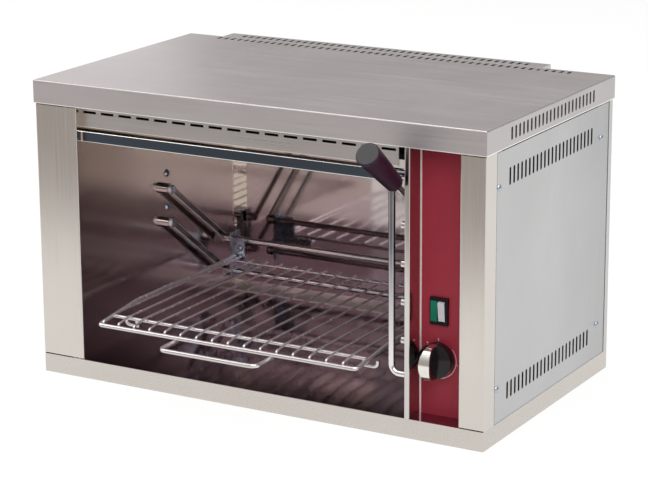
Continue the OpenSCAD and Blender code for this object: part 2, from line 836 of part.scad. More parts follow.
// Hairpin heating elements: two runs joined by a half bend at the left
module heating_elements() {
    bend_r = element_pitch / 2;
    color("#57504b") for (k = [0 : hairpin_n - 1]) {
        for (i = [2 * k, 2 * k + 1])
            bar_x(element_x0, element_x1, element_y(i), element_z, element_d);
        translate([element_x0, (element_y(2 * k) + element_y(2 * k + 1)) / 2, element_z])
            rotate([0, 0, 90]) rotate_extrude(angle = 180) translate([bend_r, 0]) circle(d = element_d);
    }
}

module element_hangers() {
    low_z = element_z - hanger_drop;
    hanger_xs = [element_x0 + hanger_in, element_x1 - hanger_in];
    color(zinc) for (x = hanger_xs) across(x, hanger_t) difference() {
        translate([element_y(0) - element_pitch / 2, low_z])
            square([element_run_n * element_pitch, reflector_z - low_z]);
        for (i = [0 : element_run_n - 1])
            translate([element_y(i), element_z]) circle(d = element_d + 2 * element_clear);
    }
}

module element_bushes() {
    color(ceramic) for (i = [0 : element_run_n - 1])
        bar_x(element_x1, cavity_x1, element_y(i), element_z, bush_d);
}

module control_panel() {
    hole_w = bezel_w - 2 * switch_rim;
    hole_h = bezel_h - 2 * switch_rim;
    color("#8b303c") along(panel_y, control_panel_t) difference() {
        translate([fold_x, base_h]) square([recess_x1 - fold_x, roof_z - base_h]);
        translate([switch_x, switch_z]) square([hole_w, hole_h], center = true);
        translate([knob_x, knob_z]) circle(d = shaft_d + 2 * shaft_room);
    }
}

// Openings of the switch for its lens and its rocker
module switch_windows() {
    for (x = [lens_x, rocker_x])
        translate([x, switch_z])
            square([switch_key_w, switch_key_h] + 2 * key_clear * [1, 1], center = true);
}

module switch_bezel() {
    color(black) along(panel_y - bezel_t, bezel_t) difference() {
        translate([switch_x, switch_z]) square([bezel_w, bezel_h], center = true);
        switch_windows();
    }
}

// Body behind the bezel, with a round cradle for the rocker
module switch_body() {
    body_size = [bezel_w, bezel_h] - 2 * switch_rim * [1, 1];
    cradle_w = switch_key_w + 2 * key_clear;
    cradle_d = switch_key_h + 2 * key_clear;
    color(black) difference() {
        along(panel_y, switch_body_d) translate([switch_x, switch_z])
            square(body_size - 2 * screw_clear * [1, 1], center = true);
        bar_x(rocker_x - cradle_w / 2, rocker_x + cradle_w / 2, rocker_y, switch_z, cradle_d);
    }
}

module pilot_lens() {
    lens_proud = bezel_t + 1;
    color("#0a6e50") along(panel_y - lens_proud, lens_proud)
        translate([lens_x, switch_z]) square([switch_key_w, switch_key_h], center = true);
}

// Rocker: a disc about its axis, cut by its tilted face
module rocker() {
    color("#c4c5c9") across(rocker_x - switch_key_w / 2, switch_key_w)
        translate([rocker_y, switch_z]) intersection() {
            circle(r = rocker_r);
            rotate(rocker_tilt) translate([-rocker_face, -2 * rocker_r])
                square([rocker_face + rocker_r / 2, 4 * rocker_r]);
        }
}

// The knob stands on the panel with its axis along -Y
module at_knob() {
    translate([knob_x, knob_back_y, knob_z]) rotate([90, 0, 0]) children();
}

module shaft_bore() {
    translate([0, 0, -eps]) cylinder(h = shaft_in + eps, d = shaft_d);
}

module knob_skirt() {
    color(black) at_knob() difference() {
        rotate_extrude() {
            square([knob_r, knob_skirt_h]);
            intersection() {
                translate([0, knob_skirt_h + knob_dome_h - knob_dome_r]) circle(r = knob_dome_r, $fn = 360);
                translate([0, knob_skirt_h]) square([knob_r, knob_dome_h]);
            }
        }
        shaft_bore();
        translate([0, 0, knob_skirt_h]) linear_extrude(knob_d) lens();
    }
}

// Outline of the half-moon in front view: wide in its middle and narrower towards its ends
module lens() {
    intersection() {
        translate([lens_r - knob_grip_w / 2, 0]) circle(r = lens_r, $fn = 360);
        translate([knob_grip_w / 2 - lens_r, 0]) circle(r = lens_r, $fn = 360);
    }
}

// Half-moon outline that stands on the skirt, with its rim drawn in by inset
module half_moon(inset) {
    intersection() {
        translate([-knob_r, knob_skirt_h]) square([knob_d, knob_d]);
        union() {
            translate([0, knob_skirt_h + knob_rim_up]) circle(r = knob_r - inset, $fn = 120);
            translate([inset - knob_r, knob_skirt_h]) square([knob_d - 2 * inset, knob_rim_up]);
        }
    }
}

// Outline across the knob, as thick as the half-moon and narrower towards its ends
module knob_plate() {
    intersection() {
        translate([-knob_grip_w / 2, 0, 0])
            rotate([90, 0, 90]) linear_extrude(knob_grip_w) children();
        linear_extrude(knob_skirt_h + knob_rim_up + knob_d) lens();
    }
}

module knob_grip() {
    color(black) at_knob() difference() {
        knob_plate() half_moon(knob_trim_t);
        shaft_bore();
    }
}

module knob_trim() {
    color(chrome) at_knob() knob_plate() difference() {
        half_moon(0);
        half_moon(knob_trim_t);
    }
}

module regulator_body() {
    body_y = panel_y + control_panel_t;
    color("#d8d3c4") difference() {
        block([knob_x - regulator_w / 2, body_y, knob_z - regulator_h / 2],
            [knob_x + regulator_w / 2, body_y + regulator_d, knob_z + regulator_h / 2]);
        bar_y(knob_x, body_y - eps, body_y + regulator_d / 2, knob_z, shaft_d + 2 * run_clear);
    }
}

module regulator_shaft() {
    shaft_end = panel_y + control_panel_t + regulator_d / 2 - end_play;
    color(zinc) bar_y(knob_x, knob_back_y - shaft_in, shaft_end, knob_z, shaft_d);
}

module terminal_block() {
    ways = 3;
    mid_x = (fold_x + side_x) / 2;
    y1 = back_y - block_back;
    way_z = base_h + block_h / 2;
    color(ceramic) difference() {
        block([mid_x - block_w / 2, y1 - block_d, base_h], [mid_x + block_w / 2, y1, base_h + block_h]);
        for (i = [0 : ways - 1])
            bar_y(mid_x + (i - 1) * block_w / ways, y1 - block_d - eps, y1 + eps, way_z, block_h / 3);
    }
}

function gland_x() = (fold_x + side_x) / 2;
function gland_z() = base_h + gland_rise;

// Cable gland: a collar outside the back panel and a nut inside it
module cable_gland() {
    nut_y = back_y - sheet - gland_nut;
    color(black) difference() {
        union() {
            bar_y(gland_x(), back_y, back_y + gland_out, gland_z(), gland_d);
            bar_y(gland_x(), back_y - sheet, back_y, gland_z(), gland_bore + 2 * gland_wall);
            bar_y(gland_x(), nut_y, back_y - sheet, gland_z(), gland_d);
        }
        bar_y(gland_x(), nut_y - eps, back_y + gland_out + eps, gland_z(), gland_bore);
    }
}

// Pivot boss on a wall at the origin: a spacer and a pin along +X
module pivot_boss(len) {
    bar_x(0, len - end_play, 0, 0, boss_d);
    bar_x(len - end_play, len + arm_t + end_play, 0, 0, pin_d);
}

// Pivots of the left wall, and of the right wall with X turned round
module at_left_pivots() {
    for (z = [pivot_z, lower_pivot_z]) translate([cavity_x0, pivot_y, z]) children();
}
module at_right_pivots() {
    for (z = [pivot_z, lower_pivot_z]) translate([cavity_x1, pivot_y, z]) mirror([1, 0, 0]) children();
}

module pivot_bosses() {
    color(polished) {
        at_left_pivots() pivot_boss(left_boss_len);
        at_right_pivots() pivot_boss(right_boss_len);
    }
}

module pivot_head(len) {
    bar_x(len + arm_t + end_play, len + arm_t + end_play + pivot_head_h, 0, 0, pivot_head_d);
}

module pivot_screws() {
    color(zinc) {
        at_left_pivots() pivot_head(left_boss_len);
        at_right_pivots() pivot_head(right_boss_len);
    }
}

module wall_screw() {
    translate([0, wall_screw_back, wall_screw_rise]) rotate([0, 90, 0]) dome_head(wall_head_d, wall_head_h);
}

module wall_screws() {
    color(zinc) {
        at_left_pivots() wall_screw();
        at_right_pivots() wall_screw();
    }
}

module stop_studs() {
    color(chrome) for (i = [0 : stud_n - 1])
        bar_x(cavity_x1 - stud_len, cavity_x1, guide_y, stud_z + i * stud_pitch, stud_d);
}

// Guide rod: upright, with both ends bent into the right wall
module guide_rod() {
    bend_x = guide_x + guide_bend;
    color(chrome) {
        bar_z(guide_x, guide_y, guide_low_z + guide_bend, guide_high_z - guide_bend, guide_d);
        for (z = [guide_low_z, guide_high_z])
            bar_x(bend_x, cavity_x1, guide_y, z, guide_d);
        translate([bend_x, guide_y, guide_low_z + guide_bend])
            rotate([90, 0, 0]) rotate([0, 0, 180]) quarter_bend(guide_bend, guide_d);
        translate([bend_x, guide_y, guide_high_z - guide_bend])
            rotate([90, 0, 0]) rotate([0, 0, 90]) quarter_bend(guide_bend, guide_d);
    }
}

// Frame along an arm from its pivot on, with +X to the front and +Y to the right
module on_arm(x, z) {
    translate([x + arm_t / 2, pivot_y, z])
        rotate([0, 0, -90]) rotate([0, -arm_angle, 0]) children();
}

// Section of an arm: a flat bar with round edges
module arm_section() {
    edge = (arm_w - arm_t) / 2;
    square([arm_t, 2 * edge], center = true);
    for (s = [-edge, edge]) translate([0, s]) circle(d = arm_t);
}

// Arm from its rear eye to its pivot's eye, and ahead of it by reach
module arm(x, z, reach) {
    on_arm(x, z) difference() {
        union() {
            across(-arm_len, arm_len + reach) arm_section();
            for (eye_x = [-arm_len, 0]) bar_y(eye_x, -arm_t / 2, arm_t / 2, 0, eye_d);
        }
        bar_y(0, -arm_t, arm_t, 0, pin_d + 2 * run_clear);
    }
}

module left_upper_arm() {
    color(polished) arm(left_arm_x, pivot_z, 0);
}

module right_upper_arm() {
    color(polished) arm(right_arm_x, pivot_z, 0);
}

module left_lower_arm() {
    color(polished) arm(left_arm_x, lower_pivot_z, 0);
}

module on_lever() {
    on_arm(right_arm_x, lower_pivot_z) children();
}

module lever_bar() {
    color(polished) {
        arm(right_arm_x, lower_pivot_z, lever_len);
        on_lever() bar_x(lever_len - arm_t, lever_len + tang_len, 0, 0, tang_d);
    }
}

// Tapered grip with rounded edges, bored for the tang
module lever_grip() {
    base_r = grip_d / 2;
    end_r = grip_end_d / 2;
    color(black) on_lever() translate([lever_len, 0, 0]) rotate([0, 90, 0]) difference() {
        rotate_extrude() {
            polygon([[0, 0], [base_r - grip_base_edge, 0], [base_r, grip_base_edge],
                [end_r, grip_len - grip_edge], [end_r - grip_edge, grip_len], [0, grip_len]]);
            translate([base_r - grip_base_edge, grip_base_edge]) circle(r = grip_base_edge);
            translate([end_r - grip_edge, grip_len - grip_edge]) circle(r = grip_edge);
        }
        translate([0, 0, -eps]) cylinder(h = tang_len + eps, d = tang_d);
    }
}

// Cross rod between the arms' rear ends, with a shoulder at each end
module cross_rod(z) {
    x0 = left_arm_x + arm_t;
    x1 = right_arm_x;
    bar_x(x0, x1, rear_y, z, rod_d);
    bar_x(x0, x0 + shoulder_len, rear_y, z, shoulder_d);
    bar_x(x1 - shoulder_len, x1, rear_y, z, shoulder_d);
}

module upper_cross_rod() {
    color(chrome) cross_rod(rear_z);
}

module lower_cross_rod() {
    color(chrome) cross_rod(rear_low_z);
}

// Right bracket: a side plate that turns on both cross rods from x on, a front plate,
// and a foot that reaches to the support rod at rod_x
module bracket(x, rod_x) {
    x1 = x + bracket_t;
    foot_z0 = support_z - support_d;
    foot_z1 = support_z + support_d;
    difference() {
        block([x, bracket_y, rear_low_z - bracket_reach],
            [x1, rear_y + bracket_reach, rear_z + bracket_reach]);
        for (z = [rear_z, rear_low_z])
            bar_x(x - eps, x1 + eps, rear_y, z, rod_d + 2 * run_clear);
    }
    block([x1 - bracket_w, bracket_y, foot_z0], [x1, bracket_y + bracket_t, rear_z + bracket_top]);
    block([rod_x - support_d, bracket_y, foot_z0], [x1, bracket_y + bracket_t, foot_z1]);
}

module left_bracket() {
    color(zinc) mirror([1, 0, 0]) bracket(-left_bracket_x - bracket_t, -support_x0);
}

module right_bracket() {
    color(zinc) bracket(right_bracket_x, support_x1);
}

module bracket_bolts() {
    left_x = left_bracket_x + bracket_w - bolt_in;
    right_x = right_bracket_x + bracket_t - bracket_w + bolt_in;
    color(zinc) for (x = [left_x, right_x], z = bolt_z)
        translate([x, bracket_y, z]) rotate([90, 0, 0]) dome_head();
}

module support_rods() {
    color(chrome) for (x = [support_x0, support_x1])
        bar_y(x, support_y - support_d / 2, bracket_y, support_z, support_d);
}

// Hook under a support rod at the origin, out along +X and turned up
module support_hook() {
    bar_x(-support_d / 2, hook_out - hook_bend, 0, 0, support_d);
    bar_z(hook_out, 0, hook_bend, hook_h, support_d);
    translate([hook_out - hook_bend, 0, hook_bend])
        rotate([90, 0, 0]) rotate([0, 0, -90]) quarter_bend(hook_bend, support_d);
}

module support_hooks() {
    color(chrome) {
        translate([support_x0, support_y, support_wire_z]) mirror([1, 0, 0]) support_hook();
        translate([support_x1, support_y, support_wire_z]) support_hook();
    }
}

// Frame of the rack: the front wire, bent round both corners into side wires that rise
// along a slope and then run level to the back
module rack_frame() {
    half = (rack_x1 - rack_x0) / 2;
    color(chrome) translate([rack_x, 0, 0]) {
        translate([0, rack_y0, front_wire_z]) rotate([slope_angle, 0, 0]) {
            bar_x(-half + frame_bend, half - frame_bend, 0, 0, frame_d);
            for (s = [0, 1]) mirror([s, 0, 0]) {
                translate([half - frame_bend, frame_bend, 0])
                    rotate([0, 0, -90]) quarter_bend(frame_bend, frame_d);
                bar_y(half, frame_bend, slope_len, 0, frame_d);
            }
        }
        for (x = [-half, half]) {
            translate([x, slope_y1, side_wire_z]) sphere(d = frame_d + crook_over);
            bar_y(x, slope_y1, rack_y1, side_wire_z, frame_d);
        }
    }
}

// Long wires, each sloping at the front and turned down there onto the frame
module rack_wires() {
    bend_y = rack_y0 + rack_bend;
    color(chrome) for (i = [0 : rack_wire_n - 1]) translate([first_wire_x + i * rack_pitch, 0, 0]) {
        bar_y(0, dip_y, rack_y1, rack_z, rack_wire_d);
        for (p = [[0, dip_y, rack_z], [0, bend_y, tooth_z]])
            translate(p) sphere(d = rack_wire_d + crook_over);
        translate([0, bend_y, tooth_z]) rotate([atan2(dip_dz, dip_dy), 0, 0])
            bar_y(0, 0, norm([dip_dy, dip_dz]), 0, rack_wire_d);
        bar_z(0, rack_y0, front_wire_z + frame_d / 2, tooth_z - rack_bend, rack_wire_d);
        translate([0, bend_y, tooth_z - rack_bend])
            rotate([90, 0, 90]) rotate([0, 0, 90]) quarter_bend(rack_bend, rack_wire_d);
    }
}

// Cross wires under the long wires: the front one between the side wires, the rear one under them
module rack_cross_wires() {
    over = frame_d / 2;
    color(chrome) {
        bar_x(rack_x0 + over, rack_x1 - over, rack_y0 + cross_in, cross_z, cross_wire_d);
        bar_x(rack_x0 - over, rack_x1 + over, rack_y1 - cross_wire_d / 2, cross_z, cross_wire_d);
    }
}

// Handle loop under the front of the frame
module rack_handle() {
    half = handle_w / 2;
    front = -handle_reach;
    color(chrome) translate([rack_x - handle_off, rack_y0, handle_z]) {
        bar_x(-half + handle_bend, half - handle_bend, front, 0, frame_d);
        for (s = [0, 1]) mirror([s, 0, 0]) {
            bar_y(half, front + handle_bend, frame_d, 0, frame_d);
            translate([half - handle_bend, front + handle_bend, 0])
                rotate([0, 0, -90]) quarter_bend(handle_bend, frame_d);
        }
    }
}

base_pan();
floor_plate();
left_front_pillar();
right_front_pillar();
left_rear_post();
right_rear_post();
left_side_panel();
right_side_panel();
side_panel_screws();
back_panel_left();
back_panel_right();
rear_vent_box();
top_cap();
cavity_left_wall();
cavity_right_wall();
cavity_back_wall();
valance();
heater_rail();
heat_reflector();
heating_elements();
element_hangers();
element_bushes();
control_panel();
switch_bezel();
switch_body();
pilot_lens();
rocker();
knob_skirt();
knob_grip();
knob_trim();
regulator_body();
regulator_shaft();
terminal_block();
cable_gland();
pivot_bosses();
pivot_screws();
wall_screws();
stop_studs();
guide_rod();
left_upper_arm();
right_upper_arm();
upper_cross_rod();
left_lower_arm();
lever_bar();
lever_grip();
lower_cross_rod();
left_bracket();
right_bracket();
bracket_bolts();
support_rods();
support_hooks();
rack_frame();
rack_wires();
rack_cross_wires();
rack_handle();
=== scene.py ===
import math
from collections import namedtuple

import bmesh
import bpy
from mathutils import Matrix, Vector


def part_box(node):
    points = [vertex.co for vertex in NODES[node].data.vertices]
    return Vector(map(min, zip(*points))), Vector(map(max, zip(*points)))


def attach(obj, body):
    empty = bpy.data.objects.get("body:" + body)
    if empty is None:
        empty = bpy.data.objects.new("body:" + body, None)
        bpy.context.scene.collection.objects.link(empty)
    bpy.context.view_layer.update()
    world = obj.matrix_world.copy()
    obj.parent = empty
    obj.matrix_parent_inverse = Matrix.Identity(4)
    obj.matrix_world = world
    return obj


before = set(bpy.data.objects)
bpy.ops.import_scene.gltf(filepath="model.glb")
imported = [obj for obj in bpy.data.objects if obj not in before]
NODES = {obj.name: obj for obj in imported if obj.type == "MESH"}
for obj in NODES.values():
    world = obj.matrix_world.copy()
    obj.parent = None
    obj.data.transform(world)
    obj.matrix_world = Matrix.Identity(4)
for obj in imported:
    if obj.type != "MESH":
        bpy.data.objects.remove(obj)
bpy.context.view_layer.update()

# Painted highlight along an edge of a sheet: its axis, its place on that axis and its half width
EdgeHighlight = namedtuple("EdgeHighlight", "axis at half_width")
# Painted shade: darkening of a sheet along an axis, from start to end, and the share of its
# colour left there
Fade = namedtuple("Fade", "axis start end left")
# Mark of the dial: its angle, clockwise from the top, the radii it spans and its width
Tick = namedtuple("Tick", "degrees inner outer width")

# Camera, fitted to the cabinet's edges in the photograph (648 x 486 pixels)
CAMERA_AT = (1.3913, -2.4253, 0.9296)
CAMERA_AZIMUTH, CAMERA_ELEVATION, CAMERA_ROLL = 30.40, 15.27, -0.51
CAMERA_SHIFT = (0.0334, -0.0066)
SENSOR_MM = 36
LENS_MM = 132.44
CLIP_END = 200

# Looks
STRETCH = {"x": (5, 420, 420), "y": (420, 5, 420), "z": (420, 420, 5)}
NOISE_LOW, NOISE_HIGH = 0.3, 0.7  # most values of a noise lie between these
SIDEWAYS = 0.6  # a face that looks further along X than this is a side
# Painted highlights along sheet edges: their colour, and the share of their half width in full
# colour
EDGE_HIGHLIGHT_COLOUR = (0.95, 0.93, 0.90)
EDGE_HIGHLIGHT_CORE = 0.6  # share of a painted highlight's half width that has its full colour
GRIP_END_AXIS = (0, -0.804, 0.595)  # along the lever, forwards and up

# Printed dial round the knob
PRINT_THICK = 0.00012
ARC_RADIUS = 0.0224
ARC_START, ARC_END = 52, 200
ARC_WIDTH_START, ARC_WIDTH_END = 0.0004, 0.0011
ARC_STEPS = 60
TICKS = [Tick(0, 0.0218, 0.0246, 0.0009), Tick(-38, 0.0218, 0.0234, 0.0016),
         Tick(100, 0.0232, 0.0246, 0.0007), Tick(200, 0.0218, 0.0244, 0.0008)]

# Bright edge of the control panel: a near-white strip, a painted highlight on the sheet's edge
EDGE_WIDE = 0.0011
EDGE_THICK = 0.0008
EDGE_TOP = 0.335

# Angle strip in the cavity's rear left corner: deep on the left wall, wide on the back wall
STRIP_DEEP = 0.018
STRIP_WIDE = 0.0105
STRIP_THICK = 0.0005
STRIP_FOOT = 0.001  # above the foot of the back wall
STRIP_TOP = 0.312

# Floor: white round the cabinet and grey in front of it, with a darker band
FLOOR_HALF = 20
FLOOR_Z = -0.0002
FLOOR_WHITE = (1.0, 1.0, 1.0)
FLOOR_GREY = (0.42, 0.39, 0.375)
FLOOR_BAND = (0.29, 0.27, 0.26)
FLOOR_GRAIN = (0.3, 0.3, 0.3)
FLOOR_GLOW = 0.8  # share of its own colour that the camera and reflections see
GREY_START_Y, GREY_END_Y = -0.62, -1.05
BAND_X = -0.70
BAND_CORE, BAND_HALF = 0.04, 0.28

# World: its colour by height, from the horizon to the zenith
SKY = [(0.0, (0.46, 0.43, 0.43)), (0.35, (0.50, 0.47, 0.47)),
       (0.7, (0.80, 0.79, 0.78)), (1.0, (0.95, 0.95, 0.95))]
SKY_STRENGTH = 0.9


# Objects
def add_object(name, data):
    obj = bpy.data.objects.new(name, data)
    bpy.context.scene.collection.objects.link(obj)
    return obj


def mesh_object(name, build, material):
    mesh = bpy.data.meshes.new(name)
    bm = bmesh.new()
    build(bm)
    bm.to_mesh(mesh)
    bm.free()
    mesh.materials.append(material)
    return add_object(name, mesh)


def make_camera():
    azimuth, elevation, roll = (
        math.radians(a) for a in (CAMERA_AZIMUTH, CAMERA_ELEVATION, CAMERA_ROLL))
    right = Vector((math.cos(azimuth), math.sin(azimuth), 0))
    back = Vector((math.sin(azimuth) * math.cos(elevation),
                   -math.cos(azimuth) * math.cos(elevation),
                   math.sin(elevation)))
    up = back.cross(right)
    side = right * math.cos(roll) + up * math.sin(roll)
    top = up * math.cos(roll) - right * math.sin(roll)
    turn = Matrix((side, top, back)).transposed().to_4x4()
    data = bpy.data.cameras.new("camera")
    data.sensor_width = SENSOR_MM
    data.lens = LENS_MM
    data.shift_x, data.shift_y = CAMERA_SHIFT
    data.clip_end = CLIP_END
    camera = add_object("camera", data)
    camera.matrix_world = Matrix.Translation(CAMERA_AT) @ turn
    bpy.context.scene.camera = camera


# Shader helpers
def rgba(colour):
    return colour if isinstance(colour, bpy.types.NodeSocket) else (*colour, 1.0)


def tone(colour, factor):
    return tuple(min(1.0, v * factor) for v in colour)


class Shader:
    """A material's node tree with its Principled shader."""

    def __init__(self, name):
        self.material = bpy.data.materials.new(name)
        self.material.use_nodes = True
        self.tree = self.material.node_tree
        self.bsdf = self.tree.nodes["Principled BSDF"]

    def node(self, kind, inputs=None, **props):
        n = self.tree.nodes.new("ShaderNode" + kind)
        for k, v in props.items():
            setattr(n, k, v)
        for k, v in (inputs or {}).items():
            self.put(n.inputs[k], v)
        return n

    def put(self, socket, value):
        if isinstance(value, bpy.types.NodeSocket):
            self.tree.links.new(value, socket)
        else:
            socket.default_value = value

    def set(self, **values):
        for k, v in values.items():
            self.put(self.bsdf.inputs[k.replace("_", " ")], v)

    def coords(self):
        return self.node("TexCoord").outputs["Object"]

    def normal(self):
        """Normal in the object's own space, so that it turns with the piece."""
        return self.node("TexCoord").outputs["Normal"]

    def part(self, vector, axis):
        return self.node("SeparateXYZ", {"Vector": vector}).outputs[axis]

    def noise(self, vector, scale, detail=3.0, rough=0.55, distortion=0.0):
        n = self.node("TexNoise", {"Vector": vector, "Scale": scale, "Detail": detail,
                                   "Roughness": rough, "Distortion": distortion})
        return n.outputs["Fac"]

    def streaks(self, axis):
        """Fine brush lines along an axis."""
        m = self.node("Mapping", {"Vector": self.coords(), "Scale": STRETCH[axis]})
        return self.noise(m.outputs["Vector"], 1.0, detail=4.0, rough=0.65)

    def remap(self, value, low, high, from_low=NOISE_LOW, from_high=NOISE_HIGH, **props):
        n = self.node("MapRange", {"Value": value, "From Min": from_low, "From Max": from_high,
                                   "To Min": low, "To Max": high}, **props)
        return n.outputs["Result"]

    def math(self, operation, a, b):
        return self.node("Math", {0: a, 1: b}, operation=operation).outputs[0]

    def absolute(self, value):
        return self.math("ABSOLUTE", value, 0.0)

    def mix(self, factor, a, b):
        n = self.node("Mix", {0: factor}, data_type="RGBA")
        self.put(n.inputs[6], rgba(a))
        self.put(n.inputs[7], rgba(b))
        return n.outputs[2]

    def mottled(self, noise, colour, dark, light):
        """The colour, varied by a noise between its dark and its light tone."""
        return self.mix(self.remap(noise, 0.0, 1.0), tone(colour, dark), tone(colour, light))

    def bump(self, height, strength, distance, normal=None):
        n = self.node("Bump", {"Height": height, "Strength": strength, "Distance": distance})
        if normal is not None:
            self.put(n.inputs["Normal"], normal)
        return n.outputs["Normal"]


def with_edge_highlights(s, base, edge_highlights):
    """Base colour with painted highlights along edges."""
    for highlight in edge_highlights:
        off = s.absolute(s.math("SUBTRACT", s.part(s.coords(), highlight.axis), highlight.at))
        edge = s.remap(off, 1.0, 0.0, highlight.half_width * EDGE_HIGHLIGHT_CORE, highlight.half_width)
        base = s.mix(edge, base, EDGE_HIGHLIGHT_COLOUR)
    return base


def brushed(name, colour, rough, grain, spread=0.06, edge_highlights=(), painted_shade=None, front=0.0):
    """Brushed stainless sheet.

    grain is the brush's axis; "xy" runs along Y on the sides and along X on the other faces.
    front is how much rougher the faces to the front and the back are."""
    s = Shader(name)
    if grain == "xy":
        facing = s.part(s.node("NewGeometry").outputs["Normal"], "X")
        lines = s.node("Mix", {0: s.math("GREATER_THAN", s.absolute(facing), SIDEWAYS)},
                       data_type="FLOAT")
        s.put(lines.inputs[2], s.streaks("x"))
        s.put(lines.inputs[3], s.streaks("y"))
        streak = lines.outputs[0]
    else:
        streak = s.streaks(grain)
    smudge = s.noise(s.coords(), 7.0, detail=4.0, rough=0.6, distortion=0.6)
    base = s.mottled(streak, colour, 1 - spread, 1 + spread)
    base = s.mix(s.remap(smudge, 0.0, 0.35, 0.35, 0.75), base, tone(colour, 0.93))
    wear_and_pale_end = s.math("ADD", s.remap(streak, rough - 0.05, rough + 0.05),
                  s.remap(smudge, -0.03, 0.04))
    if front:
        turned = s.absolute(s.part(s.normal(), "Y"))
        wear_and_pale_end = s.math("ADD", wear_and_pale_end, s.remap(turned, 0.0, front, 0.5, 0.9))
    # Painted shade: the sheet darkens along an axis
    if painted_shade:
        along = s.part(s.coords(), painted_shade.axis)
        base = s.mix(s.remap(along, 0.0, 1.0, painted_shade.start, painted_shade.end), base,
                     tone(colour, painted_shade.left))
    s.set(Base_Color=with_edge_highlights(s, base, edge_highlights),
          Metallic=1.0,
          Roughness=wear_and_pale_end,
          Normal=s.bump(streak, strength=0.10, distance=0.0004))
    return s.material


def polished(name, low, high=None, *, rough, wave, z_low=0.03, z_high=0.30, edge_highlights=()):
    """Polished stainless sheet, slightly wavy and smudged.

    It goes from its low to its high colour between two heights: a heat tint on the cavity's
    walls, and a painted dark reflection towards the top of the guide rod."""
    s = Shader(name)
    height = s.part(s.coords(), "Z")
    tint = s.mix(s.remap(height, 0.0, 1.0, z_low, z_high), low, high or low)
    smudge = s.noise(s.coords(), 11.0, detail=5.0, rough=0.6, distortion=0.8)
    fine = s.noise(s.coords(), 900.0, detail=2.0)
    sheet = s.noise(s.coords(), 9.0, detail=1.0, rough=0.4)
    wavy = s.bump(sheet, strength=wave, distance=0.0012)
    base = s.mix(s.remap(smudge, 0.0, 0.30, 0.4, 0.8), tint, tone(low, 0.8))
    s.set(Base_Color=with_edge_highlights(s, base, edge_highlights),
          Metallic=1.0,
          Roughness=s.remap(smudge, rough - 0.02, rough + 0.05),
          Normal=s.bump(fine, strength=0.03, distance=0.0002, normal=wavy))
    return s.material


def plated(name, colour, rough, mottle, scale=160.0):
    """Plated wire or fitting: bright metal with a fine mottle."""
    s = Shader(name)
    spots = s.noise(s.coords(), scale, detail=4.0, rough=0.6)
    s.set(Base_Color=s.mottled(spots, colour, 1 - mottle, 1 + mottle / 3),
          Metallic=1.0,
          Roughness=s.remap(spots, rough * 0.8, rough * 1.4),
          Normal=s.bump(spots, strength=0.04, distance=0.0003))
    return s.material


def flat_bar(name, face, edge, rough):
    """Flat steel bar whose broad faces, which look along X, are darkened as a painted dark
    reflection, and whose round edges are near-white and not metallic as a painted highlight.
    """
    s = Shader(name)
    broad = s.remap(s.absolute(s.part(s.normal(), "X")), 0.0, 1.0, 0.80, 0.98)
    smudge = s.noise(s.coords(), 40.0, detail=4.0, rough=0.6)
    s.set(Base_Color=s.mix(broad, edge, s.mottled(smudge, face, 0.85, 1.15)),
          Metallic=s.remap(broad, 0.35, 1.0, 0.0, 1.0),
          Roughness=s.remap(smudge, rough - 0.03, rough + 0.04),
          Normal=s.bump(smudge, strength=0.03, distance=0.0003))
    return s.material


def wire_steel(name, front, top, rough):
    """Plated rack wire, darker and less metallic where it looks forwards than on its upper side.
    """
    s = Shader(name)
    ahead = s.remap(s.part(s.normal(), "Y"), 1.0, 0.0, -0.9, -0.2)
    spots = s.noise(s.coords(), 160.0, detail=4.0, rough=0.6)
    s.set(Base_Color=s.mix(ahead, s.mottled(spots, top, 0.92, 1.03), front),
          Metallic=s.remap(ahead, 0.84, 1.0, 0.0, 1.0),
          Roughness=s.remap(spots, rough * 0.8, rough * 1.3),
          Normal=s.bump(spots, strength=0.04, distance=0.0003))
    return s.material


def grip_plastic(name, side, end, axis, rough):
    """Moulded grip with a paler end face that looks along axis."""
    s = Shader(name)
    facing = s.node("VectorMath", {0: s.normal(), 1: axis}, operation="DOT_PRODUCT")
    wear_and_pale_end = s.remap(facing.outputs["Value"], 0.0, 1.0, 0.80, 0.98)
    fine = s.noise(s.coords(), 1400.0)
    broad = s.noise(s.coords(), 25.0)
    s.set(Base_Color=s.mix(wear_and_pale_end, s.mottled(broad, side, 0.88, 1.12), end),
          Roughness=s.remap(fine, rough - 0.04, rough + 0.05),
          Specular_IOR_Level=0.25,
          Normal=s.bump(fine, strength=0.10, distance=0.0002))
    return s.material


def plastic(name, colour, rough, grain=900.0, bump=0.05, coat=0.0, vary=0.12, shine=0.5):
    """Moulded plastic, glazed ware or paint, with a fine grain and a slight change of tone."""
    s = Shader(name)
    fine = s.noise(s.coords(), grain)
    broad = s.noise(s.coords(), 25.0)
    s.set(Base_Color=s.mottled(broad, colour, 1 - vary, 1 + vary),
          Roughness=s.remap(fine, rough - 0.04, rough + 0.05),
          Specular_IOR_Level=shine,
          Coat_Weight=coat,
          Coat_Roughness=0.08,
          Normal=s.bump(fine, strength=bump, distance=0.0002))
    return s.material


# Mesh helpers
def piece(name, build, body, material):
    obj = mesh_object(name, build, material)
    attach(obj, body)


def prism(bm, first, last):
    """Closed prism between two rings of points."""
    first = [bm.verts.new(p) for p in first]
    last = [bm.verts.new(p) for p in last]
    faces = [bm.faces.new(first), bm.faces.new(last[::-1])]
    for i in range(len(first)):
        j = (i + 1) % len(first)
        faces.append(bm.faces.new((first[i], last[i], last[j], first[j])))
    bmesh.ops.recalc_face_normals(bm, faces=faces)


def slab(bm, outline, front, rear):
    """Closed slab from an outline of (x, z) points, between two Y planes."""
    prism(bm, [(x, front, z) for x, z in outline], [(x, rear, z) for x, z in outline])


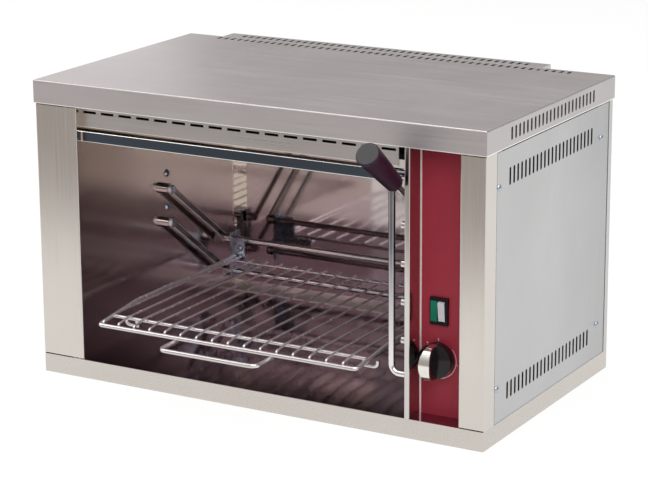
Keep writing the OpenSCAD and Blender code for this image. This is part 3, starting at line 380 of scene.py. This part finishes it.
def clock(centre, radius, degrees):
    """Point at a clock angle, clockwise from the top, in the XZ plane."""
    a = math.radians(degrees)
    return centre[0] + radius * math.sin(a), centre[1] + radius * math.cos(a)


def arc_outline(centre):
    """Outline of the dial's arc, which widens from its start to its end."""
    outer, inner = [], []
    for i in range(ARC_STEPS + 1):
        t = i / ARC_STEPS
        a = ARC_START + (ARC_END - ARC_START) * t
        w = ARC_WIDTH_START + (ARC_WIDTH_END - ARC_WIDTH_START) * t
        outer.append(clock(centre, ARC_RADIUS + w / 2, a))
        inner.append(clock(centre, ARC_RADIUS - w / 2, a))
    return outer + inner[::-1]


def tick_outline(centre, tick):
    half = math.degrees(tick.width / 2 / ((tick.inner + tick.outer) / 2))
    return [clock(centre, tick.inner, tick.degrees - half),
            clock(centre, tick.outer, tick.degrees - half),
            clock(centre, tick.outer, tick.degrees + half),
            clock(centre, tick.inner, tick.degrees + half)]


make_camera()

# Materials
cap_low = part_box("top_cap")[0]
valance_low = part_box("valance")[0]
rail_low, rail_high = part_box("heater_rail")
reflector_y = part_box("heat_reflector")[0].y

# The cap's flange has a painted highlight along its lower edge
steel_top = brushed("steel_top", (0.55, 0.52, 0.52), rough=0.36, grain="xy", spread=0.03,
                    edge_highlights=[EdgeHighlight("Z", cap_low.z + 0.0003, 0.0010)], front=0.12)
steel_front = brushed("steel_front", (0.64, 0.60, 0.555), rough=0.22, grain="z", spread=0.02)
# Side panels: painted shade, darker towards the back
steel_side = brushed("steel_side", (0.53, 0.53, 0.53), rough=0.32, grain="z", spread=0.02,
                     painted_shade=Fade("Y", start=0.02, end=0.18, left=0.82))
steel_base = brushed("steel_base", (0.60, 0.56, 0.52), rough=0.26, grain="xy", spread=0.02)
# The valance has a painted highlight along its lower edge
steel_valance = brushed("steel_valance", (0.60, 0.57, 0.55), rough=0.30, grain="x", spread=0.03,
                        edge_highlights=[EdgeHighlight("Z", valance_low.z + 0.0002, 0.0009)])
steel_back = brushed("steel_back", (0.58, 0.57, 0.56), rough=0.34, grain="z")
# Reflector: painted shade, its front part darkened to near black
reflector = brushed("reflector", (0.78, 0.72, 0.68), rough=0.30, grain="x", spread=0.04,
                    painted_shade=Fade("Y", start=reflector_y + 0.14, end=reflector_y + 0.10, left=0.08))

mirror_wall = polished("mirror_wall", (0.63, 0.51, 0.53), (0.69, 0.61, 0.53),
                       rough=0.14, wave=0.2)
mirror_back = polished("mirror_back", (0.54, 0.46, 0.47), (0.41, 0.375, 0.335),
                       rough=0.05, wave=0.12)
mirror_floor = polished("mirror_floor", (0.43, 0.32, 0.39), rough=0.08, wave=0.2)
# Heater rail: its dark blue-grey colour is a painted dark reflection, with painted highlights
# along its lower and upper edges and its left end
rail_painted_reflection = polished("rail_painted_reflection", (0.10, 0.125, 0.16), rough=0.16, wave=0.10,
                       edge_highlights=[EdgeHighlight("Z", rail_low.z + 0.0003, 0.0013),
                             EdgeHighlight("Z", rail_high.z - 0.0002, 0.0009),
                             EdgeHighlight("X", rail_low.x, 0.0016)])
mirror_arm = polished("mirror_arm", (0.52, 0.48, 0.47), rough=0.12, wave=0.1)
mirror_fold = polished("mirror_fold", (0.62, 0.58, 0.55), rough=0.10, wave=0.1)
# Guide rod: painted dark reflection, its colour darkening towards its top
chrome_rod = polished("chrome_rod", (0.80, 0.78, 0.77), (0.22, 0.22, 0.24),
                      rough=0.09, wave=0.02, z_low=0.08, z_high=0.22)

# Arms: painted dark reflection on the broad faces, painted highlight on the edges
arm_bar = flat_bar("arm_bar", face=(0.24, 0.21, 0.21), edge=(0.92, 0.89, 0.87), rough=0.16)
rack_chrome = wire_steel("rack_chrome", front=(0.60, 0.57, 0.56), top=(0.86, 0.80, 0.84),
                         rough=0.22)
chrome = plated("chrome", (0.62, 0.59, 0.59), rough=0.14, mottle=0.05)
chrome_trim = plated("chrome_trim", (0.80, 0.78, 0.72), rough=0.16, mottle=0.06)
corner_steel = plated("corner_steel", (0.66, 0.60, 0.55), rough=0.03, mottle=0.04)
# Near-white steel of the panel's edge strip: a painted highlight
edge_highlight_steel = plated("edge_highlight_steel", (0.96, 0.90, 0.88), rough=0.45, mottle=0.03)
zinc = plated("zinc", (0.43, 0.50, 0.57), rough=0.22, mottle=0.06, scale=260.0)
sheath = plated("sheath", (0.14, 0.12, 0.11), rough=0.45, mottle=0.3)

red_paint = plastic("red_paint", (0.256, 0.024, 0.040), rough=0.36, grain=500.0,
                    vary=0.06, shine=0.14)
black_gloss = plastic("black_gloss", (0.010, 0.007, 0.009), rough=0.12, bump=0.01, coat=0.1,
                      shine=0.22)
black_bezel = plastic("black_bezel", (0.010, 0.004, 0.006), rough=0.30, bump=0.02, shine=0.10)
black_grip = grip_plastic("black_grip", side=(0.022, 0.005, 0.017), end=(0.050, 0.049, 0.052),
                          axis=GRIP_END_AXIS, rough=0.36)
black_gland = plastic("black_gland", (0.02, 0.02, 0.02), rough=0.45, grain=1400.0, bump=0.10)
green_lens = plastic("green_lens", (0.003, 0.12, 0.068), rough=0.24, grain=300.0,
                     vary=0.25, shine=0.10)
grey_key = plastic("grey_key", (0.46, 0.46, 0.48), rough=0.28, bump=0.03, vary=0.05, shine=0.3)
ceramic = plastic("ceramic", (0.72, 0.69, 0.61), rough=0.22, grain=600.0, coat=0.3, vary=0.06)
print_white = plastic("print_white", (0.72, 0.50, 0.52), rough=0.40, bump=0.02, vary=0.08)

LOOKS = {
    steel_top: ["top_cap"],
    steel_front: ["left_front_pillar", "right_front_pillar"],
    steel_side: ["left_side_panel", "right_side_panel"],
    steel_base: ["base_pan"],
    steel_valance: ["valance"],
    steel_back: ["left_rear_post", "right_rear_post", "back_panel_left", "back_panel_right",
                 "rear_vent_box"],
    mirror_wall: ["cavity_left_wall"],
    reflector: ["heat_reflector"],
    mirror_back: ["cavity_back_wall"],
    mirror_floor: ["floor_plate"],
    rail_painted_reflection: ["heater_rail"],
    arm_bar: ["left_upper_arm", "right_upper_arm", "left_lower_arm", "lever_bar"],
    mirror_arm: ["pivot_bosses"],
    mirror_fold: ["cavity_right_wall"],
    chrome: ["stop_studs", "upper_cross_rod", "lower_cross_rod", "support_rods",
             "support_hooks"],
    rack_chrome: ["rack_frame", "rack_wires", "rack_cross_wires", "rack_handle"],
    chrome_rod: ["guide_rod"],
    chrome_trim: ["knob_trim"],
    zinc: ["side_panel_screws", "pivot_screws", "wall_screws", "left_bracket", "right_bracket",
           "bracket_bolts", "element_hangers", "regulator_shaft"],
    sheath: ["heating_elements"],
    red_paint: ["control_panel"],
    black_bezel: ["switch_bezel", "switch_body"],
    black_gloss: ["knob_skirt", "knob_grip"],
    black_grip: ["lever_grip"],
    black_gland: ["cable_gland"],
    green_lens: ["pilot_lens"],
    grey_key: ["rocker"],
    ceramic: ["element_bushes", "regulator_body", "terminal_block"],
}
for look, names in LOOKS.items():
    for n in names:
        NODES[n].data.materials.clear()
        NODES[n].data.materials.append(look)

# Pieces that lie on the solids
panel_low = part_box("control_panel")[0]
knob_low, knob_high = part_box("knob_skirt")
knob_at = ((knob_low.x + knob_high.x) / 2, (knob_low.z + knob_high.z) / 2)
wall_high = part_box("cavity_left_wall")[1]
rear_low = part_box("cavity_back_wall")[0]


def dial_print(bm):
    """Printed dial round the knob: an arc and ticks."""
    for outline in [arc_outline(knob_at)] + [tick_outline(knob_at, tick) for tick in TICKS]:
        slab(bm, outline, panel_low.y - PRINT_THICK, panel_low.y)


def panel_edge(bm):
    """Bright edge of the control panel, along the polished wall: a near-white strip that paints
    the edge's highlight.
    """
    left, right = panel_low.x, panel_low.x + EDGE_WIDE
    outline = [(left, panel_low.z), (right, panel_low.z), (right, EDGE_TOP), (left, EDGE_TOP)]
    slab(bm, outline, panel_low.y - EDGE_THICK, panel_low.y)


def corner_strip(bm):
    """Bright angle strip in the cavity's rear left corner."""
    x, y = wall_high.x, rear_low.y
    plan = [(x, y - STRIP_DEEP), (x + STRIP_THICK, y - STRIP_DEEP),
            (x + STRIP_THICK, y - STRIP_THICK), (x + STRIP_WIDE, y - STRIP_THICK),
            (x + STRIP_WIDE, y), (x, y)]
    prism(bm, [(px, py, rear_low.z + STRIP_FOOT) for px, py in plan],
          [(px, py, STRIP_TOP) for px, py in plan])


piece("dial_print", dial_print, "cabinet", print_white)
piece("panel_edge", panel_edge, "cabinet", edge_highlight_steel)
piece("corner_strip", corner_strip, "cabinet", corner_steel)


# Stage: pale floor and soft light
def floor_look():
    """White sheet that turns grey well in front of the cabinet, as a studio floor does."""
    s = Shader("floor")
    off = s.absolute(s.math("SUBTRACT", s.part(s.coords(), "X"), BAND_X))
    grey = s.mix(s.remap(off, 1.0, 0.0, BAND_CORE, BAND_HALF), FLOOR_GREY, FLOOR_BAND)
    near = s.remap(s.part(s.coords(), "Y"), 0.0, 1.0, GREY_END_Y, GREY_START_Y,
                   interpolation_type="SMOOTHSTEP")
    tint = s.mix(near, grey, FLOOR_WHITE)
    grain = s.noise(s.coords(), 60.0)
    s.set(Base_Color=s.mix(s.remap(grain, 0.10, 0.14), tint, FLOOR_GRAIN),
          Roughness=0.8,
          Normal=s.bump(grain, strength=0.02, distance=0.001))
    path = s.node("LightPath").outputs
    mirrored = s.math("MAXIMUM", path["Is Glossy Ray"], path["Is Transmission Ray"])
    seen = s.math("MAXIMUM", path["Is Camera Ray"], mirrored)
    glow = s.node("Emission", {"Color": tint, "Strength": 1.0})
    blend = s.node("MixShader", {0: s.math("MULTIPLY", seen, FLOOR_GLOW),
                                 1: s.bsdf.outputs["BSDF"], 2: glow.outputs["Emission"]})
    s.put(s.tree.nodes["Material Output"].inputs["Surface"], blend.outputs["Shader"])
    return s.material


def floor_sheet(bm):
    half = FLOOR_HALF
    corners = ((-half, -half), (half, -half), (half, half), (-half, half))
    bm.faces.new([bm.verts.new((x, y, FLOOR_Z)) for x, y in corners])


def make_floor():
    floor = mesh_object("floor", floor_sheet, floor_look())


def area_light(name, at, target, size, power, colour=(1, 1, 1)):
    data = bpy.data.lights.new(name, "AREA")
    data.shape = "RECTANGLE"
    data.size, data.size_y = size
    data.energy = power
    data.color = colour
    light = add_object(name, data)
    light.location = at
    light.rotation_euler = (Vector(target) - Vector(at)).to_track_quat("-Z", "Y").to_euler()


def make_world():
    world = bpy.data.worlds.new("studio")
    world.use_nodes = True
    tree = world.node_tree
    tree.nodes.clear()
    out = tree.nodes.new("ShaderNodeOutputWorld")
    back = tree.nodes.new("ShaderNodeBackground")
    ramp = tree.nodes.new("ShaderNodeValToRGB")
    split = tree.nodes.new("ShaderNodeSeparateXYZ")
    coords = tree.nodes.new("ShaderNodeTexCoord")
    tree.links.new(coords.outputs["Generated"], split.inputs["Vector"])
    tree.links.new(split.outputs["Z"], ramp.inputs["Fac"])
    tree.links.new(ramp.outputs["Color"], back.inputs["Color"])
    tree.links.new(back.outputs["Background"], out.inputs["Surface"])
    stops = ramp.color_ramp.elements
    for stop, (position, colour) in ((stops[0], SKY[0]), (stops[1], SKY[-1])):
        stop.position = position
        stop.color = rgba(colour)
    for position, colour in SKY[1:-1]:
        stops.new(position).color = rgba(colour)
    back.inputs["Strength"].default_value = SKY_STRENGTH
    bpy.context.scene.world = world


make_floor()
make_world()
area_light("key", at=(1.6, -2.2, 2.6), target=(0, 0, 0.1), size=(2.8, 2.8), power=70)
area_light("left", at=(-2.4, -1.2, 1.8), target=(0, 0, 0.15), size=(2.2, 2.2), power=35,
           colour=(1.0, 0.97, 0.93))
area_light("top", at=(0, 0.3, 3.2), target=(0, 0, 0), size=(3.6, 3.6), power=55)
area_light("card", at=(-2.05, 1.9, 0.8), target=(-0.3, 0, 0.366), size=(1.0, 0.9), power=2.4)
bpy.context.scene.view_settings.view_transform = "Standard"
